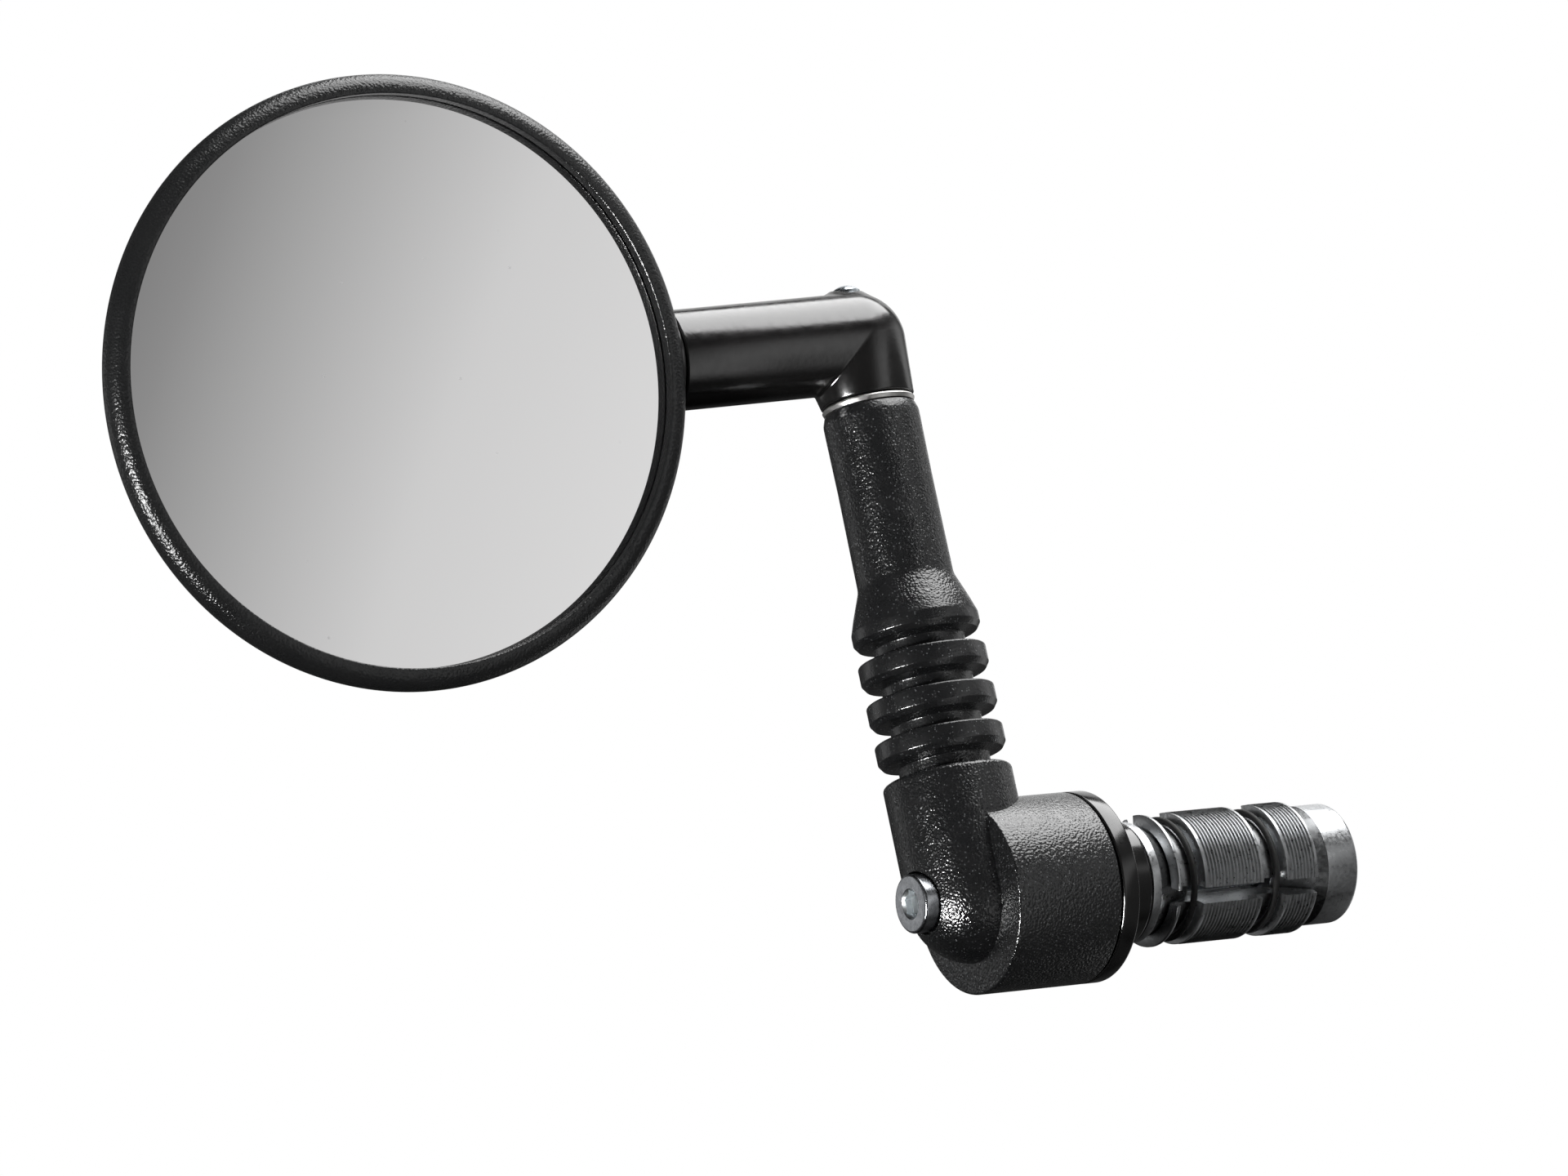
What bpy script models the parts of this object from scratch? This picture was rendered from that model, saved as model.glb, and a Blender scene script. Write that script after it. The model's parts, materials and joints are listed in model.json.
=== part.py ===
"""A round bicycle mirror that plugs into the end of a handlebar.

+X runs along the handlebar, into it. +Z runs up the ribbed arm, and the mirror faces -Y.
The origin is on the handlebar's axis, at the face of the collar that rests on the bar's end.
Lengths are in millimetres here, and MM turns them into Blender's metres.
"""
import math

import bmesh
import bpy
from mathutils import Matrix, Vector

MM = 0.001
GAP = 0.3                  # clearance between neighbouring pieces
SEAM_GAP = 0.15            # clearance at the two visible swivel seams

# Where the joints stand at rest
SWIVEL_REST = -7.0         # degrees, elbow about the arm's axis
TILT_REST = 9.4            # degrees, mirror head about the tube's axis

# Handlebar end: collar, hub and lower elbow
HUB_RADIUS = 13.0
COLLAR_WIDTH = 2.65
ARM_X = -18.4              # the arm's axis
HUB_FRONT_X = ARM_X - 0.8
HUB_BACK_X = -COLLAR_WIDTH - GAP
WASHER_POCKET = (11.4, 0.9)       # radius and depth of the pocket in the hub's back face
SPOT_FACE_RADIUS = 4.3
SPOT_FACE_X = ARM_X - 6.8

# Arm
STUB_RADIUS = 8.83
STUB_TOP_Z = 17.0
RING_RADIUS = 8.77
RING_PITCH = 5.55
RING_COUNT = 3
FIRST_RING_BOTTOM_Z = 20.05
RING_SIDE = 2.55           # height of a ring's straight side
NECK_RADIUS = 6.25
SHAFT_RADIUS = 6.6
ARM_TOP_Z = 68.4

# Elbow and tube
TUBE_Z = 78.0              # height of the tube's axis above the handlebar's axis
TUBE_RADIUS = 6.83
STUB_END_RADIUS = 6.4
TUBE_LENGTH = 28.0         # from the arm's axis to the tube's end face
SPIGOT_RADIUS = 3.5
SPIGOT_LENGTH = 17.3
CORNER_RADIUS = 7.0        # round of the elbow's outer corner
SEAM_WASHER_THICKNESS = 0.8

# Anchor bolt, M4
BOLT_RADIUS = 2.0
BOLT_BORE = 2.3
BOLT_HEAD_RADIUS = 4.0
BOLT_HEAD_FACE_X = ARM_X - 9.85
HEX_ACROSS_FLATS = 3.3
NUT_ACROSS_FLATS = 7.0
NUT_THICKNESS = 3.2

# Expander inside the handlebar
WEDGE_ANGLE = math.radians(30)
PLUG_RADIUS = 9.0          # the jaws' outer radius at rest, gripping the bar
CONE_BIG, CONE_SMALL = 8.2, 4.2
CONE_LENGTH = (CONE_BIG - CONE_SMALL) / math.tan(WEDGE_ANGLE)
COLLAR_SPIGOT_X = 5.0      # end of the spigot that centres the collar in the bar
FRONT_CONE_X = 6.6         # where the front cone starts to narrow
REAR_CONE_X = 34.0         # where the rear cone stops widening
REAR_CONE_END_X = 39.0
JAW_COUNT = 3
JAW_SLOT = 2.2
BAND_X = (12.0, 25.4)      # middles of the two rubber bands

# Mirror head, about an axis through the glass
HEAD_FROM_ARM = 70.2       # from the arm's axis to the glass's middle
LIP_RADIUS = 38.1
RIM_RADIUS = 41.0
ROLL_RADIUS = 2.7          # of the rim's rolled bead
LIP_H = 10.2               # the bead's front, ahead of the tube's axis
SKIRT_H = 5.6              # the rim's back edge
GLASS_RADIUS = 39.0
GLASS_EDGE_H = 8.0
GLASS_THICKNESS = 1.5
GLASS_CURVE = 600.0        # radius of the convex glass
LEDGE_H = 5.6
LEDGE_INNER = 35.2
SOCKET_RADIUS = 5.6
SOCKET_INNER_S = 19.9      # the socket's inner end, from the glass's middle

# Screw and washers that hold the head on the tube, from the glass's middle
TILT_WASHER_S = (19.0, 19.6)
TILT_SPRING_S = (17.5, 18.7)
TILT_SPRING_THICKNESS = 0.8
TILT_HEAD_S = (15.1, 17.2)
TILT_BORE = 1.8


def clear_scene():
    for obj in list(bpy.data.objects):
        bpy.data.objects.remove(obj, do_unlink=True)


def new_collection(name):
    collection = bpy.data.collections.new(name)
    bpy.context.scene.collection.children.link(collection)
    return collection


def material(name, colour, roughness, metallic=0.0):
    mat = bpy.data.materials.new(name)
    mat.use_nodes = True
    shader = mat.node_tree.nodes["Principled BSDF"]
    shader.inputs["Base Color"].default_value = (*colour, 1.0)
    shader.inputs["Roughness"].default_value = roughness
    shader.inputs["Metallic"].default_value = metallic
    mat.diffuse_color = (*colour, 1.0)
    return mat


clear_scene()
PARTS = new_collection("bar_end_mirror")
CUTTERS = new_collection("cutters")

NYLON = material("textured_nylon", (0.018, 0.018, 0.019), 0.42)
SATIN = material("satin_black", (0.012, 0.012, 0.012), 0.3)
MIRROR = material("mirror_silver", (0.82, 0.83, 0.84), 0.04, 1.0)
FOAM = material("foam_tape", (0.05, 0.05, 0.05), 0.9)
ZINC = material("zinc_steel", (0.62, 0.64, 0.66), 0.25, 1.0)
STAINLESS = material("stainless_steel", (0.7, 0.7, 0.69), 0.2, 1.0)
BRASS = material("brass", (0.72, 0.52, 0.2), 0.3, 1.0)
RUBBER = material("black_rubber", (0.02, 0.02, 0.02), 0.8)
WHITE_NYLON = material("white_nylon", (0.75, 0.74, 0.7), 0.5)
ALLOY = material("turned_alloy", (0.55, 0.56, 0.57), 0.35, 1.0)


def mesh_object(name, mesh, mat, collection=PARTS):
    obj = bpy.data.objects.new(name, mesh)
    if mat is not None:
        mesh.materials.append(mat)
    collection.objects.link(obj)
    return obj


def place(obj, pivot, location=(0, 0, 0), rotation=(0, 0, 0)):
    """Stand an object on its pivot, with the location in millimetres."""
    obj.parent = pivot
    obj.location = Vector(location) * MM
    obj.rotation_euler = rotation
    return obj


ALONG_X = (0, math.pi / 2, 0)        # turns local +Z to +X
ALONG_MINUS_X = (0, -math.pi / 2, 0)
FACING = (math.pi / 2, 0, 0)         # turns local +Z to -Y, the way the mirror faces


def pivot(name, location=(0, 0, 0), parent=None, rotation=(0, 0, 0)):
    empty = bpy.data.objects.new(name, None)
    empty.empty_display_size = 0.01
    PARTS.objects.link(empty)
    return place(empty, parent, location, rotation)


BAR_END = pivot("bar_end")
ARM_PIVOT = pivot("arm_pivot", (ARM_X, 0, 0), BAR_END)
SWIVEL_PIVOT = pivot("swivel_pivot", (0, 0, TUBE_Z), ARM_PIVOT, (0, 0, math.radians(SWIVEL_REST)))
TILT_PIVOT = pivot("tilt_pivot", (0, 0, 0), SWIVEL_PIVOT, (math.radians(TILT_REST), 0, 0))


def arc(centre, radius, start, end, steps):
    """Points of an arc in the profile plane, angles in degrees from +r."""
    points = []
    for i in range(steps + 1):
        angle = math.radians(start + (end - start) * i / steps)
        points.append((centre[0] + radius * math.cos(angle), centre[1] + radius * math.sin(angle)))
    return points


def turned(name, profile, mat, steps=48, closed=False, collection=PARTS):
    """Turn a profile of (radius, height) points about local Z.

    The profile runs down its outer side. It is open where both ends are on the axis.
    """
    mesh = bpy.data.meshes.new(name)
    points = [(r * MM, 0, z * MM) for r, z in profile]
    edges = [(i, i + 1) for i in range(len(points) - 1)]
    if closed:
        edges.append((len(points) - 1, 0))
    mesh.from_pydata(points, edges, [])
    obj = mesh_object(name, mesh, mat, collection)
    screw = obj.modifiers.new("turn", "SCREW")
    screw.axis = "Z"
    screw.steps = steps
    screw.render_steps = steps
    screw.use_merge_vertices = True
    screw.merge_threshold = 0.00001
    screw.use_smooth_shade = True
    return obj


def ring(name, inner, outer, low, high, mat, steps=32, edge=0.0, collection=PARTS):
    """A plain washer or sleeve between two heights, its outer edges broken by `edge`."""
    profile = [(inner, high), (outer - edge, high), (outer, high - edge),
               (outer, low + edge), (outer - edge, low), (inner, low)]
    if edge == 0.0:
        profile = [(inner, high), (outer, high), (outer, low), (inner, low)]
    return turned(name, profile, mat, steps, True, collection)


def cutter(obj):
    obj.hide_render = True
    obj.display_type = "WIRE"
    return obj


def rod(name, radius, low, high, steps=32):
    """A cutter: a plain cylinder along local Z."""
    profile = [(0, high), (radius, high), (radius, low), (0, low)]
    return cutter(turned(name, profile, None, steps, False, CUTTERS))


def prism(name, outline, low, high, mat=None, collection=CUTTERS):
    """A flat outline, drawn anticlockwise, raised along local Z. It is a cutter if it has no material."""
    form = bmesh.new()
    bottom = [form.verts.new((x * MM, y * MM, low * MM)) for x, y in outline]
    face = form.faces.new(bottom)
    extruded = bmesh.ops.extrude_face_region(form, geom=[face])
    top = [item for item in extruded["geom"] if isinstance(item, bmesh.types.BMVert)]
    bmesh.ops.translate(form, verts=top, vec=(0, 0, (high - low) * MM))
    bmesh.ops.recalc_face_normals(form, faces=form.faces)
    mesh = bpy.data.meshes.new(name)
    form.to_mesh(mesh)
    form.free()
    raised_form = mesh_object(name, mesh, mat, collection)
    return raised_form if mat else cutter(raised_form)


def hexagon(across_flats):
    corner = across_flats / 2 / math.cos(math.radians(30))
    return [(corner * math.cos(math.radians(60 * i)), corner * math.sin(math.radians(60 * i)))
            for i in range(6)]


def boolean(obj, tool, operation):
    modifier = obj.modifiers.new(operation.lower(), "BOOLEAN")
    modifier.operation = operation
    modifier.solver = "EXACT"
    modifier.object = tool
    return obj


def cut(obj, tool):
    return boolean(obj, tool, "DIFFERENCE")


def join(obj, tool):
    return boolean(obj, cutter(tool), "UNION")


def domed_head(radius, low, high, dome, steps=4):
    """Profile of a screw head from the middle of its dome down to its shank side."""
    sphere = (radius * radius + dome * dome) / (2 * dome)
    half = math.degrees(math.asin(radius / sphere))
    points = arc((0, high - sphere), sphere, 90, 90 - half, steps)
    return [(max(r, 0.0), z) for r, z in points[:-1]] + [(radius, high - dome), (radius, low)]


# ---- handlebar end: collar, expander and anchor bolt ----

def make_collar():
    """The smooth ring on the bar's end, with the short spigot that centres it in the bar."""
    spigot_radius, edge = 8.6, 0.35
    profile = [(BOLT_BORE, COLLAR_SPIGOT_X), (spigot_radius - edge, COLLAR_SPIGOT_X),
               (spigot_radius, COLLAR_SPIGOT_X - edge), (spigot_radius, 0), (HUB_RADIUS - edge, 0),
               (HUB_RADIUS, -edge), (HUB_RADIUS, edge - COLLAR_WIDTH),
               (HUB_RADIUS - edge, -COLLAR_WIDTH), (BOLT_BORE, -COLLAR_WIDTH)]
    collar = turned("bar_end_collar", profile, SATIN, 40, True)
    place(collar, BAR_END, rotation=ALONG_X)


def make_friction_washer():
    pocket_radius, pocket_depth = WASHER_POCKET
    low = HUB_BACK_X - pocket_depth + GAP
    washer = ring("friction_washer", BOLT_BORE + 0.4, pocket_radius - GAP, low,
                  HUB_BACK_X, WHITE_NYLON, 32)
    place(washer, BAR_END, rotation=ALONG_X)


def make_front_cone():
    """Fixed cone behind the collar, which spreads the jaws' near ends."""
    start, end = COLLAR_SPIGOT_X + GAP, FRONT_CONE_X + CONE_LENGTH
    profile = [(BOLT_BORE, end), (CONE_SMALL, end), (CONE_BIG, FRONT_CONE_X), (CONE_BIG, start),
               (BOLT_BORE, start)]
    place(turned("front_cone", profile, ALLOY, 36, True), BAR_END, rotation=ALONG_X)


def make_rear_cone():
    """Draw cone at the far end, with a hexagonal pocket for the nut."""
    start, end, edge = REAR_CONE_X - CONE_LENGTH, REAR_CONE_END_X, 0.5
    profile = [(BOLT_BORE, end), (CONE_BIG - edge, end), (CONE_BIG, end - edge),
               (CONE_BIG, REAR_CONE_X), (CONE_SMALL, start), (BOLT_BORE, start)]
    cone = turned("rear_cone", profile, ALLOY, 36, True)
    place(cone, BAR_END, rotation=ALONG_X)
    pocket = prism("nut_pocket", hexagon(NUT_ACROSS_FLATS + 2 * GAP), end - NUT_THICKNESS - 0.4, end + 1)
    cut(cone, place(pocket, BAR_END, rotation=ALONG_X))


def make_cone_nut():
    """M4 hexagon nut, 7 mm across flats, held in the rear cone."""
    high = REAR_CONE_END_X - 0.1
    low = high - NUT_THICKNESS
    nut = prism("cone_nut", hexagon(NUT_ACROSS_FLATS), low, high, ZINC, PARTS)
    place(nut, BAR_END, rotation=ALONG_X)
    hole = rod("nut_thread_hole", BOLT_BORE, low - 1, high + 1, 24)
    cut(nut, place(hole, BAR_END, rotation=ALONG_X))


def jaw_profile():
    """Section of a jaw: wedge faces at both ends, two band grooves in its outer side."""
    inset, edge = 2.0, 0.4      # from a cone's wide end to the jaw, and the jaw's broken outer edges
    near, far = FRONT_CONE_X + inset, REAR_CONE_X - inset
    slant_gap = GAP / math.cos(WEDGE_ANGLE)
    end_radius = CONE_BIG - inset * math.tan(WEDGE_ANGLE) + slant_gap
    bore = CONE_SMALL + GAP
    run = (end_radius - bore) / math.tan(WEDGE_ANGLE)
    groove_floor, groove_half = PLUG_RADIUS - 1.7, 1.9
    early = 0.7            # the grooves start early, so that the bands stay clear as the jaws move
    outer = [(end_radius, far), (PLUG_RADIUS - edge, far), (PLUG_RADIUS, far - edge)]
    for middle in reversed(BAND_X):
        top, bottom = middle + groove_half - early, middle - groove_half - early
        outer += [(PLUG_RADIUS, top), (groove_floor, top), (groove_floor, bottom), (PLUG_RADIUS, bottom)]
    outer += [(PLUG_RADIUS, near + edge), (PLUG_RADIUS - edge, near), (end_radius, near)]
    inner = [(bore, near + run), (bore, far - run)]
    return outer + inner


def make_jaws():
    """Three jaws that the cones push out against the inside of the bar."""
    apex = JAW_SLOT / 2 / math.sin(math.radians(60))
    reach = 20.0
    side = (apex + reach * math.cos(math.radians(60)), reach * math.sin(math.radians(60)))
    for i in range(JAW_COUNT):
        jaw = turned("expander_jaw_%d" % (i + 1), jaw_profile(), ALLOY, 36, True)
        place(jaw, BAR_END, rotation=ALONG_X)
        sector = prism("jaw_sector_%d" % (i + 1), [(apex, 0), (side[0], -side[1]), side], 0, 45)
        angle = 2 * math.pi * i / JAW_COUNT
        sector.data.transform(Matrix.Rotation(angle, 4, "Z"))
        boolean(jaw, place(sector, BAR_END, rotation=ALONG_X), "INTERSECT")


def make_bands():
    """Two rubber bands that keep the jaws closed on the cones."""
    middle_radius, thickness = PLUG_RADIUS - 0.95, 0.45
    for name, middle in zip(("jaw_band_front", "jaw_band_rear"), BAND_X):
        profile = arc((middle_radius, middle), thickness, 90, -270, 6)[:-1]
        place(turned(name, profile, RUBBER, 28, True), BAR_END, rotation=ALONG_X)


def make_anchor_bolt():
    """M4 bolt with a low socket head, from the lower elbow to the rear cone."""
    seat, end, edge = SPOT_FACE_X - GAP, REAR_CONE_X + 8.0, 0.45
    face = BOLT_HEAD_FACE_X
    profile = [(0, end), (BOLT_RADIUS - 0.5, end), (BOLT_RADIUS, end - 0.5), (BOLT_RADIUS, seat),
               (BOLT_HEAD_RADIUS, seat), (BOLT_HEAD_RADIUS, face + edge)]
    profile += [(BOLT_HEAD_RADIUS - edge, face), (0, face)]
    bolt = turned("anchor_bolt", profile, ZINC, 28)
    place(bolt, BAR_END, rotation=ALONG_X)
    socket = prism("bolt_socket", hexagon(HEX_ACROSS_FLATS), face - 1.0, face + 1.8)
    cut(bolt, place(socket, BAR_END, rotation=ALONG_X))


# ---- ribbed arm, with its lower elbow and hub ----

def ring_outline(bottom, side, radius):
    """One ring, from its sharp upper edge to the chamfer that runs into the neck below."""
    return [(radius, bottom + side), (radius, bottom + 0.1), (radius - 0.55, bottom - 0.7),
            (NECK_RADIUS, bottom - 1.15)]


def arm_profile():
    """The arm's section: bore for the insert, shaft, flare, rings, stub and round lower end."""
    bore = [(0, 49.0), (2.3, 49.0), (2.3, 54.0), (3.9, 54.0), (3.9, 66.2), (4.7, 66.2),
            (4.7, ARM_TOP_Z)]
    outer = [(SHAFT_RADIUS - 0.55, ARM_TOP_Z), (SHAFT_RADIUS, ARM_TOP_Z - 1.2), (SHAFT_RADIUS, 66.0),
             (SHAFT_RADIUS - 0.08, 58.0), (SHAFT_RADIUS - 0.04, 50.0), (SHAFT_RADIUS, 44.2),
             (SHAFT_RADIUS + 0.25, 43.2), (8.15, 39.7)]
    flare_bottom = FIRST_RING_BOTTOM_Z + RING_COUNT * RING_PITCH
    outer += ring_outline(flare_bottom, 2.1, RING_RADIUS - 0.05)
    for i in reversed(range(RING_COUNT)):
        bottom = FIRST_RING_BOTTOM_Z + i * RING_PITCH
        outer.append((NECK_RADIUS, bottom + RING_SIDE))
        outer += ring_outline(bottom, RING_SIDE, RING_RADIUS)
    outer += [(NECK_RADIUS, STUB_TOP_Z), (STUB_RADIUS - 0.7, STUB_TOP_Z),
              (STUB_RADIUS - 0.2, STUB_TOP_Z - 0.2), (STUB_RADIUS, STUB_TOP_Z - 0.7)]
    round_end = arc((0, 0), STUB_RADIUS, 0, -90, 7)
    return bore + outer + [(max(r, 0.0), z) for r, z in round_end[:-1]] + [(0, -STUB_RADIUS)]


def make_arm():
    arm = place(turned("ribbed_arm", arm_profile(), NYLON, 40), ARM_PIVOT)
    pocket_radius, pocket_depth = WASHER_POCKET
    front = HUB_FRONT_X - ARM_X
    back = HUB_BACK_X - ARM_X
    edge, back_edge = 0.45, 0.2
    hub_profile = [(0, back - pocket_depth), (pocket_radius, back - pocket_depth),
                   (pocket_radius, back), (HUB_RADIUS - back_edge, back), (HUB_RADIUS, back - back_edge),
                   (HUB_RADIUS, front + edge), (HUB_RADIUS - edge, front), (7.0, front - 0.25),
                   (0, front - 0.25)]
    hub = turned("hub", hub_profile, None, 48, False, CUTTERS)
    join(arm, place(hub, ARM_PIVOT, rotation=ALONG_X))
    spot = rod("spot_face", SPOT_FACE_RADIUS, -14, SPOT_FACE_X - ARM_X, 28)
    cut(arm, place(spot, ARM_PIVOT, rotation=ALONG_X))
    cut(arm, place(rod("bolt_bore", BOLT_BORE, -12, 20, 24), ARM_PIVOT, rotation=ALONG_X))


def make_swivel_fittings():
    """Brass insert and spring washer in the arm's top, and the bright washer in the seam."""
    insert = ring("swivel_insert", 1.55, 3.6, 54.0 + GAP, 65.9, BRASS, 24, 0.3)
    place(insert, ARM_PIVOT)
    spring = ring("swivel_spring_washer", 2.3, 4.4, 66.5, 68.4, STAINLESS, 24)
    place(spring, ARM_PIVOT)
    low = ARM_TOP_Z + SEAM_GAP
    seam = ring("seam_washer", 2.3, 6.4, low, low + SEAM_WASHER_THICKNESS, STAINLESS, 32, 0.25)
    place(seam, ARM_PIVOT)


# ---- elbow and tube ----

def elbow_line(angle, stub_end):
    """One lengthwise line of the elbow's skin, from the spigot's tip to the stub's lower end.

    The angle goes round the section: 0 is the outer side of the bend, 180 its inner side.
    The tube and the stub meet in a mitre, which is rounded only on the outer side.
    """
    outward, across = math.cos(angle), math.sin(angle)
    spigot_tip = -TUBE_LENGTH - SPIGOT_LENGTH
    line = [(spigot_tip, SPIGOT_RADIUS), (-TUBE_LENGTH, SPIGOT_RADIUS),
            (-TUBE_LENGTH, TUBE_RADIUS - 0.3), (0.3 - TUBE_LENGTH, TUBE_RADIUS)]
    points = [(x, across * r, outward * r) for x, r in line]
    corner = TUBE_RADIUS * outward
    sharp = 0.3
    bend = sharp + (CORNER_RADIUS - sharp) * max(outward, 0.0)
    bend_steps = 5
    for i in range(bend_steps + 1):
        turn = math.pi / 2 * i / bend_steps
        x = corner - bend + bend * math.sin(turn)
        z = corner - bend + bend * math.cos(turn)
        points.append((x, across * TUBE_RADIUS, z))
    for z, r in ((stub_end + 0.4, STUB_END_RADIUS), (stub_end, STUB_END_RADIUS - 0.4)):
        points.append((outward * r, across * r, z))
    return points


def make_elbow():
    """The smooth tube, its mitred elbow and the boss for the swivel screw."""
    stub_end = ARM_TOP_Z + 2 * SEAM_GAP + SEAM_WASHER_THICKNESS - TUBE_Z
    sides = 40
    form = bmesh.new()
    grid = []
    for i in range(sides):
        line = elbow_line(2 * math.pi * i / sides, stub_end)
        grid.append([form.verts.new(Vector(point) * MM) for point in line])
    for i in range(sides):
        a, b = grid[i], grid[(i + 1) % sides]
        for j in range(len(a) - 1):
            form.faces.new((a[j], a[j + 1], b[j + 1], b[j]))
    form.faces.new([line[0] for line in grid])
    form.faces.new([line[-1] for line in reversed(grid)])
    bmesh.ops.recalc_face_normals(form, faces=form.faces)
    mesh = bpy.data.meshes.new("elbow_tube")
    form.to_mesh(mesh)
    form.free()
    elbow = place(mesh_object("elbow_tube", mesh, SATIN), SWIVEL_PIVOT)
    boss = turned("screw_boss", [(0, 7.6), (2.4, 7.6), (2.8, 7.1), (3.7, 6.2), (3.9, 5.0), (0, 5.0)],
                  None, 28, False, CUTTERS)
    saddle = rod("boss_saddle", TUBE_RADIUS + 0.3, -8, 8, 48)
    boolean(boss, place(saddle, SWIVEL_PIVOT, rotation=ALONG_X), "INTERSECT")
    join(elbow, place(boss, SWIVEL_PIVOT))
    cut(elbow, place(rod("screw_counterbore", 2.1 + SEAM_GAP, 5.7, 10, 28), SWIVEL_PIVOT))
    cut(elbow, place(rod("screw_bore", 1.55, -12, 10, 24), SWIVEL_PIVOT))
    bore = rod("spigot_bore", 2.8, TUBE_LENGTH + 5.0, TUBE_LENGTH + SPIGOT_LENGTH + 1, 24)
    cut(elbow, place(bore, SWIVEL_PIVOT, rotation=ALONG_MINUS_X))


def make_swivel_screw():
    """Domed screw down the arm's axis, which the elbow turns on."""
    head_radius, dome, shank_radius, end = 2.1, 0.95, 1.25, 52.0
    head_low, head_high = TUBE_Z + 6.0, TUBE_Z + TUBE_RADIUS + 1.25
    profile = domed_head(head_radius, head_low, head_high, dome)
    profile += [(shank_radius, head_low), (shank_radius, end + 0.5), (shank_radius - 0.35, end), (0, end)]
    screw = place(turned("swivel_screw", profile, ZINC, 24), ARM_PIVOT)
    socket = prism("swivel_screw_socket", hexagon(1.5), head_high - 1.4, head_high + 1)
    cut(screw, place(socket, ARM_PIVOT))


def make_tilt_insert():
    """Brass insert in the spigot's end, which the tilt screw threads into."""
    tip = TUBE_LENGTH + SPIGOT_LENGTH
    insert = ring("tilt_insert", 1.8, 2.5, TUBE_LENGTH + 5.0 + GAP, tip - GAP, BRASS, 24)
    place(insert, SWIVEL_PIVOT, rotation=ALONG_MINUS_X)


# ---- mirror head ----

def head_place(obj):
    """Stand a turned piece on the glass's axis, facing the way the mirror faces."""
    return place(obj, TILT_PIVOT, (-HEAD_FROM_ARM, 0, 0), FACING)


def curve_drop(r):
    """How far the convex glass falls from its middle at radius r."""
    return GLASS_CURVE - math.sqrt(GLASS_CURVE ** 2 - r ** 2)


def make_glass():
    crown = GLASS_EDGE_H + curve_drop(GLASS_RADIUS)
    rings = 4
    radii = [(GLASS_RADIUS - 0.4) * i / rings for i in range(rings + 1)]
    front = [(r, crown - curve_drop(r)) for r in radii]
    edge = [(GLASS_RADIUS, GLASS_EDGE_H - 0.4), (GLASS_RADIUS, GLASS_EDGE_H - GLASS_THICKNESS)]
    back = [(r, crown - GLASS_THICKNESS - curve_drop(r)) for r in reversed(radii[:-1])]
    head_place(turned("mirror_glass", front + edge + back, MIRROR, 60))


def make_tape():
    """Ring of foam tape that the glass is bedded on."""
    low = LEDGE_H + SEAM_GAP
    high = GLASS_EDGE_H - GLASS_THICKNESS - SEAM_GAP
    head_place(ring("foam_tape", LEDGE_INNER + GAP, GLASS_RADIUS - GAP, low, high, FOAM, 48))


def make_rim():
    """Rolled rim that holds the glass: a round bead with a short skirt behind it."""
    inner_wall = GLASS_RADIUS + GAP
    lip_h = GLASS_EDGE_H + GAP
    bead = arc((RIM_RADIUS - ROLL_RADIUS, LIP_H - ROLL_RADIUS), ROLL_RADIUS, 90, -44, 8)
    profile = [(inner_wall, lip_h), (LIP_RADIUS, lip_h), (LIP_RADIUS, LIP_H - 0.1)] + bead
    profile += [(inner_wall, bead[-1][1])]
    head_place(turned("mirror_rim", profile, SATIN, 60, True))


def housing_profile():
    """Section of the domed back shell: its inner face, then its ledge and its back."""
    back_h = -7.8
    wall = 2.2
    shoulder_h = SKIRT_H - GAP
    inner = [(0, back_h + wall), (14.6, -4.6), (23.2, -2.9), (29.4, -0.9), (33.4, 1.2),
             (LEDGE_INNER, 2.8), (LEDGE_INNER, LEDGE_H)]
    outer = [(GLASS_RADIUS, LEDGE_H), (GLASS_RADIUS, shoulder_h), (39.85, shoulder_h), (38.7, 3.6),
             (37.0, 1.7), (34.2, -0.4), (30.0, -2.7), (24.0, -4.9), (15.0, -6.7), (0, back_h)]
    return inner, outer


def make_housing():
    """Back shell with the socket that the tube's spigot turns in."""
    inner, outer = housing_profile()
    housing = head_place(turned("mirror_housing", inner + outer, SATIN, 60))
    face_s = HEAD_FROM_ARM - TUBE_LENGTH - SEAM_GAP
    socket = turned("socket", [(0, face_s), (TUBE_RADIUS, face_s), (TUBE_RADIUS, 33.0), (SOCKET_RADIUS, 29.0),
                               (SOCKET_RADIUS, SOCKET_INNER_S), (0, SOCKET_INNER_S)], None, 36, False,
                    CUTTERS)
    middle = (-HEAD_FROM_ARM, 0, 0)
    join(housing, place(socket, TILT_PIVOT, middle, ALONG_X))
    shoulder_h = SKIRT_H - GAP
    relief = ring("rim_relief", GLASS_RADIUS, RIM_RADIUS + GAP, shoulder_h, 12.0, None, 60, 0.0, CUTTERS)
    cut(housing, head_place(cutter(relief)))
    cut(housing, head_place(rod("ledge_level", GLASS_RADIUS + 0.1, LEDGE_H, 12.0, 60)))
    bore = rod("socket_bore", SPIGOT_RADIUS + GAP, SOCKET_INNER_S + 2.7, 46.0, 28)
    cut(housing, place(bore, TILT_PIVOT, middle, ALONG_X))
    hole = rod("tilt_screw_hole", TILT_BORE, SOCKET_INNER_S - 2, 46.0, 20)
    cut(housing, place(hole, TILT_PIVOT, middle, ALONG_X))


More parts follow.
